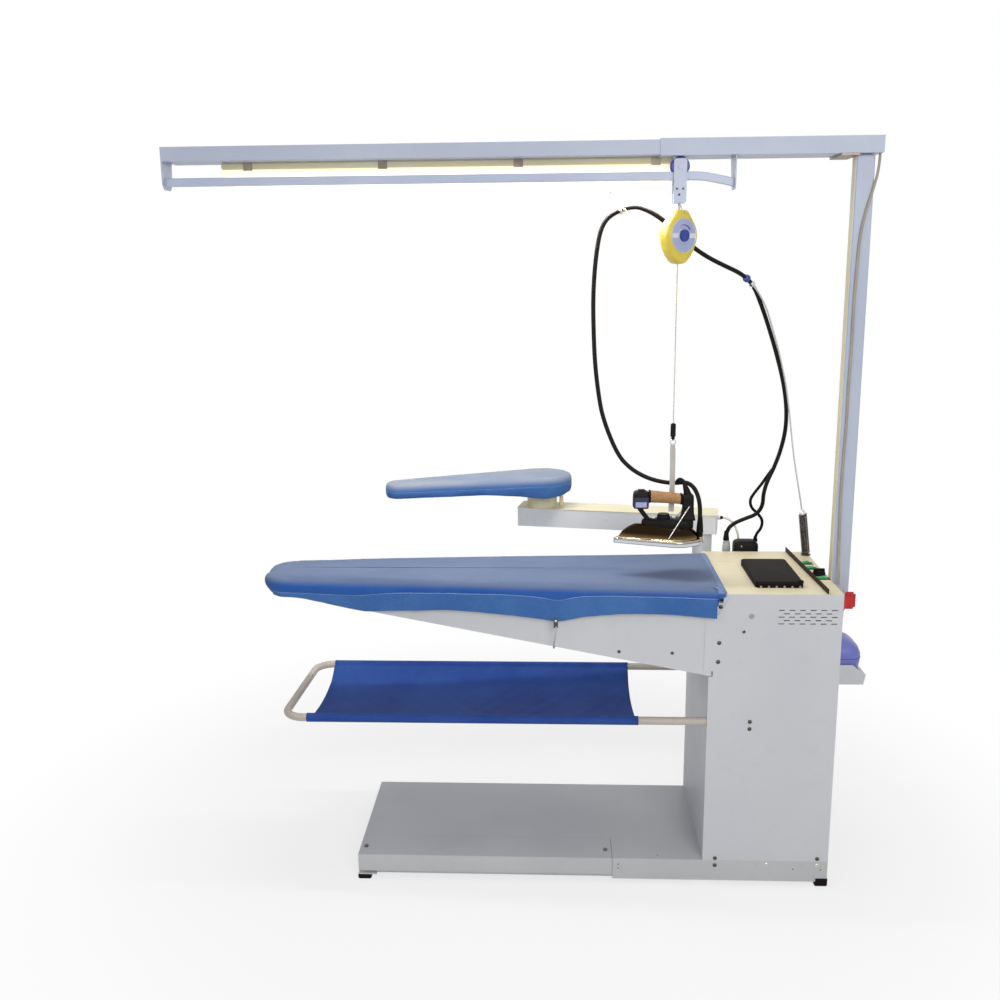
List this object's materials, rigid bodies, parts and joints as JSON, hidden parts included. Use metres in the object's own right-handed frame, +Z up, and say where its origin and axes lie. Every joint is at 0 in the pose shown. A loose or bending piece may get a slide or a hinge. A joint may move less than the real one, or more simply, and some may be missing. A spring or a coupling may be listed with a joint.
{
  "type": "ironing machine",
  "caption": "Free-standing suction ironing unit: padded board, swinging sleeve board, cabinet, lamp gantry and an iron hung from a rail.",
  "frame": {"origin": "On the floor, under the middle of the whole unit's outline from above", "axes": "+Z up; +X runs along the board from its nose to the cabinet; +Y runs from the operator's side to the back"},
  "size_m": [1.935, 0.7506, 2.034],
  "materials": {
    "sheet_white": "satin",
    "sheet_grey": "satin",
    "gantry_grey": "satin",
    "arm_cream": "satin",
    "lamp_cream": "satin",
    "diffuser": "frosted",
    "steel": "brushed",
    "chrome": "polished",
    "sole": "satin",
    "cast": "rough",
    "black_plastic": "matte",
    "grey_plastic": "matte",
    "green_rocker": "gloss",
    "red_plastic": "gloss",
    "blue_plastic": "gloss",
    "yellow_case": "gloss",
    "tank_blue": "translucent",
    "cover_blue": "woven",
    "cloth_blue": "woven",
    "foam": "soft",
    "rubber": "matte",
    "hose_grey": "matte",
    "cable_white": "smooth",
    "cork": "natural",
    "brass": "satin"
  },
  "bodies": {
    "stand": {"base_tray": "sheet_grey", "rubber_feet": "rubber", "cabinet_front": "sheet_white", "cabinet_wrap": "sheet_grey", "cabinet_top": "arm_cream", "iron_rest": "rubber", "isolator_box": "red_plastic", "tank_shelf": "sheet_grey", "water_tank": "tank_blue", "body_screws": "steel", "board_trough": "sheet_white", "board_grid": "steel", "board_pad": "foam", "board_cover": "cover_blue", "cover_clips": "chrome", "fan_housing": "sheet_grey", "fan_motor": "cast", "boiler": "brass", "tray_frame": "sheet_white", "tray_cloth": "cloth_blue", "gantry_column": "gantry_grey", "gantry_beam": "gantry_grey", "beam_extension": "gantry_grey", "tool_rail": "gantry_grey", "lamp_housing": "lamp_cream", "lamp_diffuser": "diffuser", "lamp_cable": "rubber", "hose_support": "chrome", "hose_hanger": "cable_white", "post_bracket": "sheet_white", "rear_connectors": "grey_plastic", "hose_main": "hose_grey", "power_lead": "rubber"},
    "pedal": {"pedal_bar": "sheet_white"},
    "light_rocker": {"rocker_light": "green_rocker"},
    "suction_rocker": {"rocker_suction": "green_rocker"},
    "boiler_rocker": {"rocker_boiler": "green_rocker"},
    "thermostat": {"thermostat_knob": "black_plastic"},
    "isolator": {"isolator_knob": "red_plastic"},
    "fan": {"fan_impeller": "steel"},
    "arm": {"arm_box": "arm_cream", "arm_lid": "arm_cream", "arm_cable": "cable_white"},
    "sleeve_board": {"sleeve_tray": "steel", "sleeve_pad": "foam", "sleeve_cover": "cover_blue"},
    "trolley": {"trolley_frame": "steel", "hose_upper": "hose_grey"},
    "wheel": {"trolley_wheel": "blue_plastic"},
    "balancer": {"balancer_case": "yellow_case"},
    "brake_knob": {"balancer_knob": "blue_plastic"},
    "iron": {"balancer_cable": "steel", "iron_sling": "black_plastic", "iron_sole": "sole", "iron_cover": "chrome", "iron_body": "black_plastic", "iron_handle": "cork", "hose_lower": "hose_grey"},
    "iron_thermostat": {"iron_dial": "black_plastic"},
    "steam_button": {"iron_button": "red_plastic"}
  },
  "joints": [
    {"name": "pedal_press", "type": "hinge", "parent": "stand", "child": "pedal", "pos_m": [-0.5045, -0.25333, 0.067], "axis": [1, 0, 0], "range_deg": [0, 3], "stiffness_Nm_per_rad": 120, "springref_deg": -1.72},
    {"name": "light_rocker_tilt", "type": "hinge", "parent": "stand", "child": "light_rocker", "pos_m": [0.7955, -0.04833, 0.854], "axis": [0, 1, 0], "range_deg": [0, 14]},
    {"name": "suction_rocker_tilt", "type": "hinge", "parent": "stand", "child": "suction_rocker", "pos_m": [0.7975, -0.10133, 0.854], "axis": [0, 1, 0], "range_deg": [0, 14]},
    {"name": "boiler_rocker_tilt", "type": "hinge", "parent": "stand", "child": "boiler_rocker", "pos_m": [0.8045, -0.20333, 0.854], "axis": [0, 1, 0], "range_deg": [0, 14]},
    {"name": "thermostat_turn", "type": "hinge", "parent": "stand", "child": "thermostat", "pos_m": [0.8045, -0.16733, 0.86], "axis": [0, 0, 1], "range_deg": [-270, 0]},
    {"name": "isolator_turn", "type": "hinge", "parent": "stand", "child": "isolator", "pos_m": [0.8455, -0.28733, 0.824], "axis": [1, 0, 0], "range_deg": [0, 90]},
    {"name": "fan_spin", "type": "hinge", "parent": "stand", "child": "fan", "pos_m": [0.6355, -0.18233, 0.3], "axis": [0, 0, 1], "continuous": true},
    {"name": "arm_swing", "type": "hinge", "parent": "stand", "child": "arm", "pos_m": [0.5255, 0.18667, 0.8], "axis": [0, 0, 1], "range_deg": [-60, 35], "deforming": ["arm_cable"]},
    {"name": "sleeve_swivel", "type": "hinge", "parent": "arm", "child": "sleeve_board", "pos_m": [0.02011, 0.28033, 1], "axis": [0, 0, 1], "range_deg": [-40, 40]},
    {"name": "trolley_slide", "type": "slide", "parent": "stand", "child": "trolley", "axis": [1, 0, 0], "range_m": [-0.84, 0], "deforming": ["hose_upper"]},
    {"name": "wheel_spin", "type": "hinge", "parent": "trolley", "child": "wheel", "pos_m": [0.3785, -0.21833, 1.9676], "axis": [0, 1, 0], "continuous": true},
    {"name": "balancer_swivel", "type": "hinge", "parent": "trolley", "child": "balancer", "pos_m": [0.3785, -0.21833, 1.85], "axis": [0, 0, 1], "continuous": true},
    {"name": "brake_knob_turn", "type": "hinge", "parent": "balancer", "child": "brake_knob", "pos_m": [0.3785, -0.21833, 1.794], "axis": [0.6157, -0.788, 0], "range_deg": [-180, 180]},
    {"name": "iron_lift", "type": "slide", "parent": "trolley", "child": "iron", "axis": [0, 0, 1], "range_m": [-0.094, 0.35], "deforming": ["balancer_cable", "hose_lower"]},
    {"name": "iron_dial_turn", "type": "hinge", "parent": "iron", "child": "iron_thermostat", "pos_m": [0.3555, -0.24133, 1.04], "axis": [0, 0, 1], "range_deg": [-150, 150]},
    {"name": "steam_button_press", "type": "slide", "parent": "iron", "child": "steam_button", "axis": [0, 0, -1], "range_m": [0, 0.0028], "stiffness_N_per_m": 400, "springref_m": -0.001}
  ],
  "couplings": [
    {"joint": "wheel_spin", "follows": "trolley_slide", "rad_per_m": 76.336}
  ]
}
